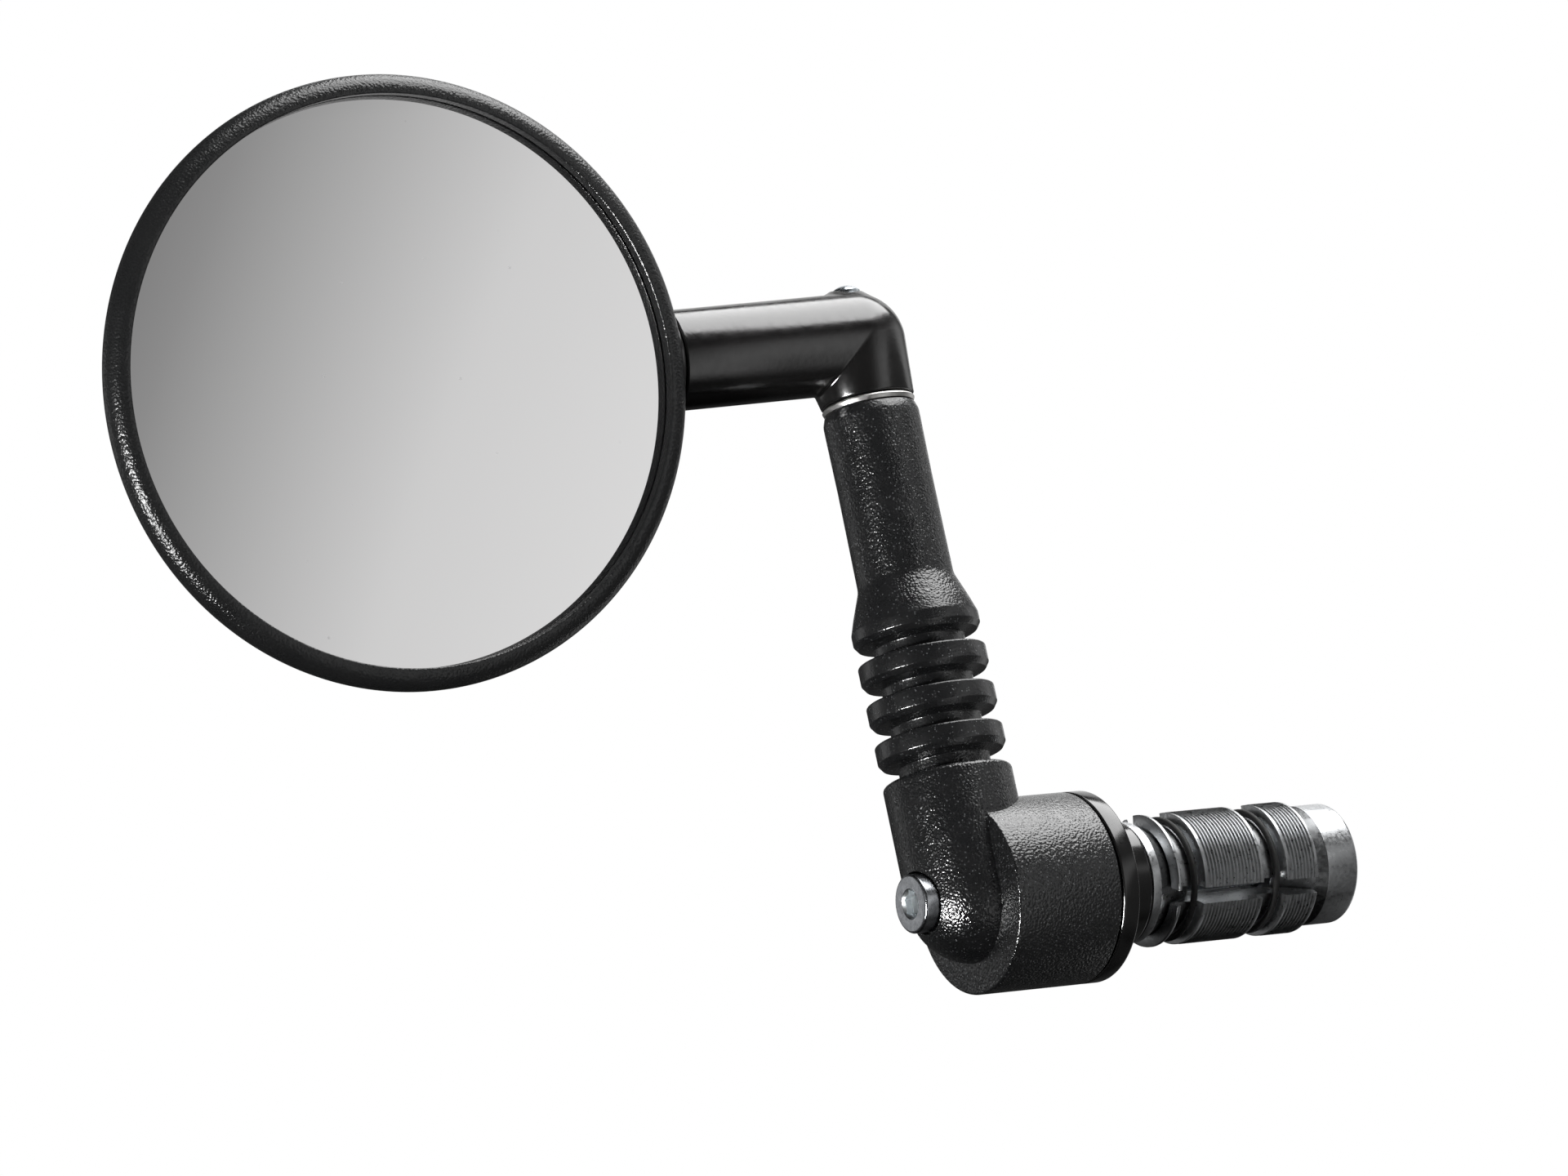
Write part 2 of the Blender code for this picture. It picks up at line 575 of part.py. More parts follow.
def make_tilt_fittings():
    """Screw, spring washer and flat washer that hold the head on the tube, inside the shell."""
    middle = (-HEAD_FROM_ARM, 0, 0)
    low, high = TILT_WASHER_S
    washer = ring("tilt_washer", TILT_BORE, 3.6, low, high, STAINLESS, 24)
    place(washer, SWIVEL_PIVOT, middle, ALONG_X)
    low, high = TILT_SPRING_S
    step = high - low - TILT_SPRING_THICKNESS
    spring_profile = [(TILT_BORE, high), (2.2, high), (3.2, high - step), (3.2, low), (2.2, low + step),
                      (TILT_BORE, low + step)]
    spring = turned("tilt_spring_washer", spring_profile, STAINLESS, 24, True)
    place(spring, SWIVEL_PIVOT, middle, ALONG_X)
    low, high = TILT_HEAD_S
    head_radius, shank_radius, edge = 2.8, 1.5, 0.4
    shank_end = HEAD_FROM_ARM - TUBE_LENGTH - 7.0
    profile = [(0, shank_end), (shank_radius - edge, shank_end), (shank_radius, shank_end - edge),
               (shank_radius, high), (head_radius, high), (head_radius, low + edge),
               (head_radius - edge, low), (0, low)]
    screw = place(turned("tilt_screw", profile, ZINC, 24), SWIVEL_PIVOT, middle, ALONG_X)
    socket = prism("tilt_screw_socket", hexagon(2.5), low - 1.1, low + 1.2)
    cut(screw, place(socket, SWIVEL_PIVOT, middle, ALONG_X))


make_collar()
make_friction_washer()
make_front_cone()
make_rear_cone()
make_cone_nut()
make_jaws()
make_bands()
make_anchor_bolt()
make_arm()
make_swivel_fittings()
make_elbow()
make_swivel_screw()
make_tilt_insert()
make_glass()
make_tape()
make_rim()
make_housing()
make_tilt_fittings()
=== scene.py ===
"""The looks of a round bar-end bicycle mirror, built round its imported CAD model.

Lengths are in millimetres in this script, and MM turns them into Blender's metres.
Each piece is made about its own axis, local Z, and then moved in its mesh to the axis that carries it,
so an object's own coordinates, which the materials use, are the shared frame at rest.
"""

import json
import math

import bmesh
import bpy
from mathutils import Matrix, Vector


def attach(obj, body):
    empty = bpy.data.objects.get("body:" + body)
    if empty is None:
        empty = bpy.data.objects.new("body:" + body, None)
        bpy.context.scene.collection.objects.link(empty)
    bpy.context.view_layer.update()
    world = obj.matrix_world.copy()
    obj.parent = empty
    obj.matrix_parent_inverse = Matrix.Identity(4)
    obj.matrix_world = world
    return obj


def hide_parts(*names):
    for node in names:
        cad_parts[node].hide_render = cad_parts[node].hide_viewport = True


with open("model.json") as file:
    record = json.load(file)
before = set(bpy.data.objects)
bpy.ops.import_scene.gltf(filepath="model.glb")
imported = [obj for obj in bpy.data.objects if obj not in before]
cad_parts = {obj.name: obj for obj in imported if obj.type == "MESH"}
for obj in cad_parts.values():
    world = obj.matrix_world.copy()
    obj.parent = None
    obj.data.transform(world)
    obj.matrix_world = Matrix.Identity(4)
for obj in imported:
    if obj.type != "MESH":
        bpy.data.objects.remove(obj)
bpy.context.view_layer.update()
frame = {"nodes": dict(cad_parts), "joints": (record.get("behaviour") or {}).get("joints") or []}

MM = 0.001
SHARP_EDGE = math.radians(32)
MOULD_GRAIN = 0.34

# Sizes shared with the CAD model
GAP = 0.3
HUB_RADIUS, COLLAR_WIDTH, HUB_EDGE_FROM_ARM = 13.0, 2.65, 0.8
STUB_RADIUS, STUB_TOP_Z = 8.83, 17.0
RING_RADIUS, RING_PITCH, RING_COUNT, FIRST_RING_Z, RING_SIDE = 8.77, 5.55, 3, 20.05, 2.55
FLARE_Z, FLARE_SIDE = FIRST_RING_Z + RING_COUNT * RING_PITCH, 2.1
NECK_RADIUS, SHAFT_RADIUS, ARM_TOP_Z = 6.25, 6.6, 68.4
SEAM_GAP, SEAM_WASHER = 0.15, 0.8
TUBE_RADIUS, STUB_END_RADIUS, TUBE_LENGTH, CORNER_RADIUS, CORNER_SHARP = 6.83, 6.4, 28.0, 7.0, 0.35
SPIGOT_RADIUS, SPIGOT_LENGTH = 3.5, 17.3
BOLT_RADIUS, BOLT_BORE, BOLT_HEAD_RADIUS, BOLT_HEAD_FROM_ARM = 2.0, 2.3, 4.0, 9.85
BOLT_PITCH, THREAD_START_X, BOLT_PAST_CONE, HEX_ACROSS_FLATS = 0.7, 21.0, 8.0, 3.3
HEX_MOUTH = HEX_ACROSS_FLATS / 2 + 0.45
NUT_ACROSS_FLATS, NUT_LENGTH, NUT_SUNK = 7.0, 3.2, 0.1
SPOT_FACE_RADIUS, SPOT_FACE_FROM_ARM = 4.3, 6.8
PLUG_RADIUS, CONE_BIG, CONE_SMALL, WEDGE_ANGLE = 9.0, 8.2, 4.2, math.radians(30)
CONE_LENGTH = (CONE_BIG - CONE_SMALL) / math.tan(WEDGE_ANGLE)
COLLAR_SPIGOT_X, FRONT_CONE_X, REAR_CONE_X, REAR_CONE_END_X = 5.0, 6.6, 34.0, 39.0
BAND_FRONT_X, BAND_REAR_X = 12.0, 25.4
SCREW_HEAD_RADIUS, SCREW_BORE, SCREW_SEAT_H = 2.1, 1.55, 5.7
HEAD_FROM_ARM, TILT_REST = 70.2, 9.4
LIP_RADIUS, RIM_RADIUS, ROLL_RADIUS, LIP_H = 38.1, 41.0, 2.7, 10.2
GLASS_RADIUS, GLASS_EDGE_H, GLASS_THICKNESS, GLASS_CURVE = 39.0, 8.0, 1.5, 600.0
LEDGE_H, LEDGE_INNER, SOCKET_RADIUS, SOCKET_INNER_S = 5.6, 35.2, 5.6, 19.9


# ---- where each piece stands ----

def joint(name):
    return next(j for j in frame["joints"] if j["name"] == name)


SWIVEL_POINT = Vector(joint("elbow_swivel")["pos_m"])
TUBE_AXIS = -Vector(joint("head_tilt")["axis"])
ARM_X = SWIVEL_POINT.x / MM
TUBE_Z = SWIVEL_POINT.z / MM
ALONG_X = Matrix.Rotation(math.pi / 2, 4, "Y")
ALONG_MINUS_X = Matrix.Rotation(-math.pi / 2, 4, "Y")
BAR_FRAME = ALONG_X
ARM_FRAME = Matrix.Translation((ARM_X * MM, 0, 0))
HUB_FRAME = ARM_FRAME @ ALONG_X
TUBE_TURN = Matrix.Rotation(math.atan2(TUBE_AXIS.y, TUBE_AXIS.x), 4, "Z")
ELBOW_FRAME = Matrix.Translation(SWIVEL_POINT) @ TUBE_TURN
TUBE_FRAME = ELBOW_FRAME @ ALONG_MINUS_X
TILT_FRAME = ELBOW_FRAME @ Matrix.Rotation(math.radians(TILT_REST), 4, "X")
GLASS_MIDDLE = TILT_FRAME @ Matrix.Translation((-HEAD_FROM_ARM * MM, 0, 0))
HEAD_FRAME = GLASS_MIDDLE @ Matrix.Rotation(math.pi / 2, 4, "X")
SOCKET_FRAME = GLASS_MIDDLE @ ALONG_X


# ---- camera ----

CAMERA_TARGET = Vector((-31.55, 9.57, 47.02)) * MM
CAMERA_DISTANCE = 1.2109
CAMERA_AZIMUTH = math.radians(32.01)      # the view turns from +Y towards +X
CAMERA_RISE = math.radians(11.99)         # and looks up
CAMERA_ROLL = math.radians(-11.78)
CAMERA_LENS = 205.87


def make_camera():
    """Make the camera, and return its right, up and back directions."""
    view = Vector((math.sin(CAMERA_AZIMUTH) * math.cos(CAMERA_RISE),
                   math.cos(CAMERA_AZIMUTH) * math.cos(CAMERA_RISE), math.sin(CAMERA_RISE)))
    turn = view.to_track_quat("-Z", "Y") @ Matrix.Rotation(CAMERA_ROLL, 3, "Z").to_quaternion()
    data = bpy.data.cameras.new("camera")
    data.lens = CAMERA_LENS
    data.clip_start, data.clip_end = 0.05, 50
    camera = bpy.data.objects.new("camera", data)
    camera.rotation_mode = "QUATERNION"
    camera.rotation_quaternion = turn
    camera.location = CAMERA_TARGET - view * CAMERA_DISTANCE
    bpy.context.scene.collection.objects.link(camera)
    bpy.context.scene.camera = camera
    axes = turn.to_matrix()
    return axes.col[0].copy(), axes.col[1].copy(), axes.col[2].copy()


VIEW_RIGHT, VIEW_UP, VIEW_BACK = make_camera()


# ---- materials ----

def node(tree, kind, inputs=None, **settings):
    """Add a node. An input is a value, or the socket that feeds it."""
    made = tree.nodes.new(kind)
    for name, value in settings.items():
        setattr(made, name, value)
    for name, value in (inputs or {}).items():
        if isinstance(value, bpy.types.NodeSocket):
            tree.links.new(value, made.inputs[name])
        else:
            made.inputs[name].default_value = value
    return made


def new_material(name, metallic=0.0, ior=1.5):
    mat = bpy.data.materials.new(name)
    mat.use_nodes = True
    shader = mat.node_tree.nodes["Principled BSDF"]
    shader.inputs["Metallic"].default_value = metallic
    shader.inputs["IOR"].default_value = ior
    return mat, mat.node_tree, shader


def where(tree):
    return node(tree, "ShaderNodeTexCoord").outputs["Object"]


def noise(tree, size, detail=2.0, roughness=0.5, vector=None):
    """Noise whose lumps are about `size` millimetres across."""
    inputs = {"Vector": vector or where(tree), "Scale": 1 / (size * MM), "Detail": detail, "Roughness": roughness}
    return node(tree, "ShaderNodeTexNoise", inputs).outputs["Fac"]


def blend_colours(tree, share, low, high):
    mix = node(tree, "ShaderNodeMix", data_type="RGBA")
    tree.links.new(share, mix.inputs[0])
    mix.inputs[6].default_value = (*low, 1)
    mix.inputs[7].default_value = (*high, 1)
    return mix.outputs[2]


def spread(tree, value, low, high, from_low=0.3, from_high=0.7):
    """Map a texture's middle range on to a range of values."""
    inputs = {"Value": value, "From Min": from_low, "From Max": from_high, "To Min": low, "To Max": high}
    return node(tree, "ShaderNodeMapRange", inputs, clamp=True).outputs["Result"]


def maths(tree, operation, a, b):
    made = node(tree, "ShaderNodeMath", operation=operation)
    for socket, value in zip(made.inputs, (a, b)):
        if isinstance(value, bpy.types.NodeSocket):
            tree.links.new(value, socket)
        else:
            socket.default_value = value
    return made.outputs[0]


def bump(tree, height, depth, strength=1.0):
    """Bump of `depth` millimetres between the texture's 0 and 1."""
    inputs = {"Height": height, "Distance": depth * MM, "Strength": strength}
    return node(tree, "ShaderNodeBump", inputs).outputs["Normal"]


def grain(tree, size):
    """Height of a spark-eroded mould surface: rounded pebbles of uneven size."""
    pebbles = node(tree, "ShaderNodeTexVoronoi", {"Vector": where(tree), "Scale": 1 / (size * MM),
                                                   "Smoothness": 0.7}, feature="SMOOTH_F1")
    raised = maths(tree, "SUBTRACT", 1.0, pebbles.outputs["Distance"])
    return maths(tree, "ADD", maths(tree, "MULTIPLY", raised, 0.9),
                 maths(tree, "MULTIPLY", noise(tree, size, 1.5, 0.5), 0.5))


def specks(tree, size, share):
    """Sparse round specks: 1 in a speck's middle, 0 between specks."""
    cells = node(tree, "ShaderNodeTexVoronoi", {"Vector": where(tree), "Scale": 1 / (size * MM)})
    dots = spread(tree, cells.outputs["Distance"], 1, 0, 0.12, 0.3)
    chosen = node(tree, "ShaderNodeSeparateColor", {"Color": cells.outputs["Color"]}).outputs["Red"]
    return maths(tree, "MULTIPLY", dots, spread(tree, chosen, 0, 1, 1 - share, 1 - share + 0.02))


def make_nylon():
    """Glass-filled nylon from a spark-eroded mould: coarse grain with bright specks."""
    mat, tree, shader = new_material("grained_nylon", ior=1.7)
    links = tree.links
    tone = blend_colours(tree, noise(tree, 6.0), (0.0145, 0.015, 0.016), (0.0215, 0.022, 0.0228))
    flecks = node(tree, "ShaderNodeMix", {0: specks(tree, 0.4, 0.4), 6: tone}, data_type="RGBA")
    flecks.inputs[7].default_value = (0.22, 0.227, 0.235, 1)
    links.new(flecks.outputs[2], shader.inputs["Base Color"])
    links.new(spread(tree, noise(tree, 2.5), 0.23, 0.31), shader.inputs["Roughness"])
    height = node(tree, "ShaderNodeSeparateXYZ", {"Vector": where(tree)}).outputs["Z"]
    past_stub = spread(tree, height, 0, 1, (STUB_TOP_Z + 1) * MM, (STUB_TOP_Z + 3) * MM)
    before_flare = spread(tree, height, 1, 0, (FLARE_Z + 1.3) * MM, (FLARE_Z + 4.3) * MM)
    on_rings = maths(tree, "MULTIPLY", past_stub, before_flare)
    at_top = spread(tree, height, 0, 1, (ARM_TOP_Z - 1.6) * MM, (ARM_TOP_Z - 1.0) * MM)
    smoother = 0.7  # how much of the grain the rings and the top edge lose
    lost = maths(tree, "MULTIPLY", maths(tree, "MAXIMUM", on_rings, at_top), smoother)
    height_left = maths(tree, "MULTIPLY", grain(tree, MOULD_GRAIN), maths(tree, "SUBTRACT", 1.0, lost))
    links.new(bump(tree, height_left, 0.1), shader.inputs["Normal"])
    return mat


def make_rim_black():
    """Satin black with a fine leathery grain."""
    mat, tree, shader = new_material("rim_black", ior=1.5)
    links = tree.links
    tone = blend_colours(tree, noise(tree, 9.0), (0.018, 0.0185, 0.019), (0.0255, 0.026, 0.0265))
    links.new(tone, shader.inputs["Base Color"])
    links.new(spread(tree, noise(tree, 4.0), 0.27, 0.34), shader.inputs["Roughness"])
    links.new(bump(tree, grain(tree, MOULD_GRAIN), 0.075), shader.inputs["Normal"])
    return mat


def make_satin():
    """Smooth satin black, with the faint orange peel of paint."""
    mat, tree, shader = new_material("satin_black", ior=1.78)
    links = tree.links
    tone = blend_colours(tree, noise(tree, 7.0), (0.0115, 0.011, 0.0108), (0.016, 0.0152, 0.015))
    links.new(tone, shader.inputs["Base Color"])
    links.new(spread(tree, noise(tree, 1.2), 0.16, 0.24), shader.inputs["Roughness"])
    links.new(bump(tree, noise(tree, 0.7, 3.0, 0.6), 0.014), shader.inputs["Normal"])
    return mat


def turning_lines(tree, pitch, axis):
    """Height of fine lines left by turning about an axis, X or Z."""
    along = node(tree, "ShaderNodeSeparateXYZ", {"Vector": where(tree)}).outputs[axis]
    stretched = node(tree, "ShaderNodeCombineXYZ", {"Z": along}).outputs["Vector"]
    return noise(tree, pitch, 3.0, 0.7, stretched)


def make_turned_black():
    """Polished black collar with faint turning lines."""
    mat, tree, shader = new_material("turned_black", ior=1.65)
    links = tree.links
    tone = blend_colours(tree, noise(tree, 5.0), (0.012, 0.0118, 0.0118), (0.017, 0.0165, 0.0165))
    links.new(tone, shader.inputs["Base Color"])
    links.new(spread(tree, noise(tree, 1.5), 0.13, 0.2), shader.inputs["Roughness"])
    links.new(bump(tree, turning_lines(tree, 0.3, "X"), 0.004), shader.inputs["Normal"])
    return mat


def make_mirror():
    """Silvered glass with a little dust."""
    mat, tree, shader = new_material("mirror_silver", metallic=1.0)
    links = tree.links
    dust = specks(tree, 1.0, 0.009)
    tone = blend_colours(tree, dust, (0.885, 0.88, 0.88), (0.9, 0.9, 0.9))
    links.new(tone, shader.inputs["Base Color"])
    links.new(maths(tree, "SUBTRACT", 1.0, dust), shader.inputs["Metallic"])
    links.new(spread(tree, dust, 0.015, 0.5, 0, 1), shader.inputs["Roughness"])
    links.new(bump(tree, noise(tree, 30.0, 1.0, 0.4), 0.002, 0.3), shader.inputs["Normal"])
    return mat


def make_metal(name, colour, dark, roughness, scratch=0.002, lines=None):
    """Bare metal with mottling, wear in its gloss and fine marks, turned where `lines` gives their pitch and axis."""
    mat, tree, shader = new_material(name, metallic=1.0)
    links = tree.links
    links.new(blend_colours(tree, noise(tree, 0.9, 3.0), dark, colour), shader.inputs["Base Color"])
    links.new(spread(tree, noise(tree, 0.5, 3.0), roughness * 0.75, roughness * 1.35), shader.inputs["Roughness"])
    height = turning_lines(tree, *lines) if lines else noise(tree, 0.22, 3.0, 0.6)
    links.new(bump(tree, height, scratch), shader.inputs["Normal"])
    return mat


def make_bolt_zinc():
    """Zinc plate with painted light: the socket's colour is painted near white as a painted highlight, and the
    outside of the bolt's head is painted darker as painted shade. The socket is also a little rougher.
    """
    mat, tree, shader = new_material("bolt_zinc", metallic=1.0)
    links = tree.links
    off_axis = node(tree, "ShaderNodeVectorMath", {0: where(tree), 1: (0, 1, 1)}, operation="MULTIPLY")
    radius = node(tree, "ShaderNodeVectorMath", {0: off_axis.outputs["Vector"]}, operation="LENGTH").outputs["Value"]
    # Mask of the hexagonal socket, whose colour is painted near white as painted light
    socket_painted_light = spread(tree, radius, 1, 0, (HEX_MOUTH - 0.15) * MM, (HEX_MOUTH + 0.05) * MM)
    mottle = noise(tree, 0.7, 3.0)
    # The outside of the head is painted darker than zinc, as painted shade that tones down its highlight
    outer = blend_colours(tree, mottle, (0.27, 0.28, 0.3), (0.66, 0.68, 0.71))
    tone = node(tree, "ShaderNodeMix", {0: socket_painted_light, 6: outer, 7: (0.93, 0.97, 0.99, 1)}, data_type="RGBA")
    links.new(tone.outputs[2], shader.inputs["Base Color"])
    gloss = maths(tree, "MULTIPLY", socket_painted_light, 0.12)
    links.new(maths(tree, "ADD", spread(tree, noise(tree, 0.5, 3.0), 0.2, 0.32), gloss), shader.inputs["Roughness"])
    links.new(bump(tree, noise(tree, 0.3, 3.0, 0.6), 0.012), shader.inputs["Normal"])
    return mat


def make_matt(name, colour, dark, roughness, size, depth):
    """A matt moulded surface with its own grain."""
    mat, tree, shader = new_material(name)
    links = tree.links
    links.new(blend_colours(tree, noise(tree, size * 4, 3.0), dark, colour), shader.inputs["Base Color"])
    links.new(spread(tree, noise(tree, size * 2), roughness * 0.9, roughness * 1.1), shader.inputs["Roughness"])
    links.new(bump(tree, noise(tree, size, 3.0, 0.6), depth), shader.inputs["Normal"])
    return mat


NYLON = make_nylon()
RIM_BLACK = make_rim_black()
SATIN = make_satin()
TURNED_BLACK = make_turned_black()
MIRROR = make_mirror()
ZINC = make_metal("zinc_plate", (0.78, 0.83, 0.87), (0.58, 0.63, 0.68), 0.24, 0.004)
BOLT_ZINC = make_bolt_zinc()
STAINLESS = make_metal("stainless_steel", (0.72, 0.71, 0.69), (0.52, 0.51, 0.5), 0.24, 0.003, (0.15, "Z"))
BRIGHT_STEEL = make_metal("bright_steel", (0.88, 0.87, 0.85), (0.7, 0.69, 0.67), 0.4, 0.004, (0.15, "Z"))
BRASS = make_metal("brass", (0.72, 0.53, 0.24), (0.5, 0.34, 0.14), 0.3)
ALLOY = make_metal("turned_alloy", (0.58, 0.59, 0.6), (0.4, 0.41, 0.42), 0.33, 0.005, (0.25, "X"))
RUBBER = make_matt("black_rubber", (0.024, 0.024, 0.024), (0.014, 0.014, 0.014), 0.7, 0.2, 0.02)
WHITE_NYLON = make_matt("white_nylon", (0.74, 0.73, 0.69), (0.62, 0.61, 0.57), 0.45, 0.3, 0.01)
FOAM = make_matt("foam_tape", (0.05, 0.05, 0.052), (0.02, 0.02, 0.021), 0.9, 0.3, 0.1)


# ---- mesh tools ----

def rounded(corners, closed=False, steps=5):
    """Profile points from corners of (radius, height) or (radius, height, rounding)."""
    points = []
    count = len(corners)
    for i, corner in enumerate(corners):
        here = Vector(corner[:2])
        at_end = not closed and i in (0, count - 1)
        if len(corner) == 2 or at_end:
            points.append(here)
            continue
        before = Vector(corners[i - 1][:2]) - here
        after = Vector(corners[(i + 1) % count][:2]) - here
        half = before.angle(after) / 2
        reach = min(corner[2] / math.tan(half), 0.49 * before.length, 0.49 * after.length)
        radius = reach * math.tan(half)
        before.normalize()
        after.normalize()
        centre = here + (before + after).normalized() * radius / math.sin(half)
        start, end = here + before * reach - centre, here + after * reach - centre
        turn = math.atan2(start.cross(end), start.dot(end))
        for k in range(steps + 1):
            points.append(centre + Matrix.Rotation(turn * k / steps, 2) @ start)
    return [tuple(p) for p in points]


def arc(centre, radius, start, end, steps):
    """Points of an arc in the profile plane, angles in degrees from +r."""
    angles = [math.radians(start + (end - start) * i / steps) for i in range(steps + 1)]
    return [(centre[0] + radius * math.cos(a), centre[1] + radius * math.sin(a)) for a in angles]


def mesh_from(form, name):
    bmesh.ops.remove_doubles(form, verts=form.verts, dist=0.0005 * MM)
    bmesh.ops.recalc_face_normals(form, faces=form.faces)
    mesh = bpy.data.meshes.new(name)
    form.to_mesh(mesh)
    form.free()
    return mesh


def stand(name, mesh, matrix, mat=None):
    """Show a mesh in its place. The object stays at the origin, like the CAD nodes."""
    mesh.transform(matrix)
    obj = bpy.data.objects.new(name, mesh)
    bpy.context.scene.collection.objects.link(obj)
    if mat:
        mesh.materials.append(mat)
    return obj


def skin(form, rows, closed_rows):
    """Faces between rows of vertices. A row of one vertex is a pole."""
    pairs = list(zip(rows, rows[1:]))
    if closed_rows:
        pairs.append((rows[-1], rows[0]))
    for a, b in pairs:
        count = max(len(a), len(b))
        for i in range(count):
            j = (i + 1) % count
            corners = [a[i % len(a)], b[i % len(b)], b[j % len(b)], a[j % len(a)]]
            unique = list(dict.fromkeys(corners))
            if len(unique) > 2:
                form.faces.new(unique)


def angles_round(steps):
    return [2 * math.pi * i / steps for i in range(steps)]


def circle(form, radius, height, steps):
    """A row of vertices round local Z. A point on the axis is a row of one."""
    if radius < 1e-6:
        return [form.verts.new((0, 0, height * MM))]
    return [form.verts.new((radius * MM * math.cos(a), radius * MM * math.sin(a), height * MM))
            for a in angles_round(steps)]


def lathe(name, profile, matrix, mat, steps, closed=False):
    """Turn a profile of (radius, height) points about local Z."""
    form = bmesh.new()
    rows = [circle(form, r, h, steps) for r, h in profile]
    skin(form, rows, closed)
    return stand(name, mesh_from(form, name), matrix, mat)


def prism(name, outline, low, high, matrix, mat=None):
    """A flat outline raised along local Z."""
    form = bmesh.new()
    rows = [[form.verts.new((x * MM, y * MM, h * MM)) for x, y in outline] for h in (low, high)]
    skin(form, rows, False)
    form.faces.new(rows[0])
    form.faces.new(rows[1])
    return stand(name, mesh_from(form, name), matrix, mat)


def hexagon_corner(across_flats):
    return across_flats / 2 / math.cos(math.radians(30))


def hexagon(across_flats):
    corner = hexagon_corner(across_flats)
    return [(corner * math.cos(a), corner * math.sin(a)) for a in angles_round(6)]


def carve(obj, tools, operation="DIFFERENCE"):
    """Cut tools from an object, or join them to it, and keep only the result."""
    for tool in tools:
        modifier = obj.modifiers.new("carve", "BOOLEAN")
        modifier.operation = operation
        modifier.solver = "EXACT"
        modifier.object = tool
    bpy.context.view_layer.update()
    shape = obj.evaluated_get(bpy.context.evaluated_depsgraph_get())
    mesh = bpy.data.meshes.new_from_object(shape)
    obj.modifiers.clear()
    old = obj.data
    obj.data = mesh
    bpy.data.meshes.remove(old)
    for tool in tools:
        bpy.data.objects.remove(tool)
    return obj


def show(obj, body, slot, *nodes):
    """Shade a finished piece and put it in the place of its CAD nodes."""
    obj.data.shade_smooth()
    obj.data.set_sharp_from_angle(angle=SHARP_EDGE)
    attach(obj, body)
    if nodes:
        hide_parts(*nodes)


# ---- handlebar end ----

def make_collar():
    spigot_radius = 8.6
    corners = [(BOLT_BORE, COLLAR_SPIGOT_X, 0.1), (spigot_radius, COLLAR_SPIGOT_X, 0.4), (spigot_radius, 0, 0.1),
               (HUB_RADIUS, 0, 0.35), (HUB_RADIUS, -COLLAR_WIDTH, 0.3), (BOLT_BORE, -COLLAR_WIDTH, 0.1)]
    collar = lathe("collar", rounded(corners, True), BAR_FRAME, TURNED_BLACK, 160, True)
    show(collar, "bar_plug", "satin_black", "bar_end_collar")


def make_cones():
    start, end = COLLAR_SPIGOT_X + GAP, FRONT_CONE_X + CONE_LENGTH
    corners = [(BOLT_BORE, end, 0.1), (CONE_SMALL, end, 0.2), (CONE_BIG, FRONT_CONE_X, 0.15),
               (CONE_BIG, start, 0.15), (BOLT_BORE, start, 0.1)]
    front = lathe("front_expander_cone", rounded(corners, True), BAR_FRAME, ALLOY, 96, True)
    show(front, "bar_plug", "turned_alloy", "front_cone")
    start, end = REAR_CONE_X - CONE_LENGTH, REAR_CONE_END_X
    corners = [(BOLT_BORE, end, 0.1), (CONE_BIG, end, 0.6), (CONE_BIG, REAR_CONE_X, 0.15),
               (CONE_SMALL, start, 0.2), (BOLT_BORE, start, 0.1)]
    rear = lathe("rear_expander_cone", rounded(corners, True), BAR_FRAME, ALLOY, 96, True)
    pocket_floor = end - NUT_SUNK - NUT_LENGTH - GAP
    pocket = prism("nut_pocket", hexagon(NUT_ACROSS_FLATS + 2 * GAP), pocket_floor, end + 1, BAR_FRAME)
    show(carve(rear, [pocket]), "draw_cone", "turned_alloy", "rear_cone")


def make_nut():
    """Hexagon nut with the chamfer that rounds its corners."""
    high = REAR_CONE_END_X - NUT_SUNK
    low = high - NUT_LENGTH
    nut = prism("draw_nut", hexagon(NUT_ACROSS_FLATS), low, high, BAR_FRAME, ZINC)
    flat, corner = NUT_ACROSS_FLATS / 2, hexagon_corner(NUT_ACROSS_FLATS)
    bevel = (corner - flat) * 0.62
    face, outside = flat - 0.1, corner + 0.1
    profile = [(0, high + 0.5), (face, high + 0.5), (face, high), (outside, high - bevel),
               (outside, low + bevel), (face, low), (face, low - 0.5), (0, low - 0.5)]
    carve(nut, [lathe("nut_chamfer", profile, BAR_FRAME, None, 72)], "INTERSECT")
    lead_in = 0.3
    mouth = BOLT_BORE + lead_in
    hole = [(0, high + 1), (mouth, high + 1), (mouth, high), (BOLT_BORE, high - lead_in),
            (BOLT_BORE, low + lead_in), (mouth, low), (mouth, low - 1), (0, low - 1)]
    carve(nut, [lathe("nut_hole", hole, BAR_FRAME, None, 48)])
    show(nut, "draw_cone", "zinc_steel", "cone_nut")


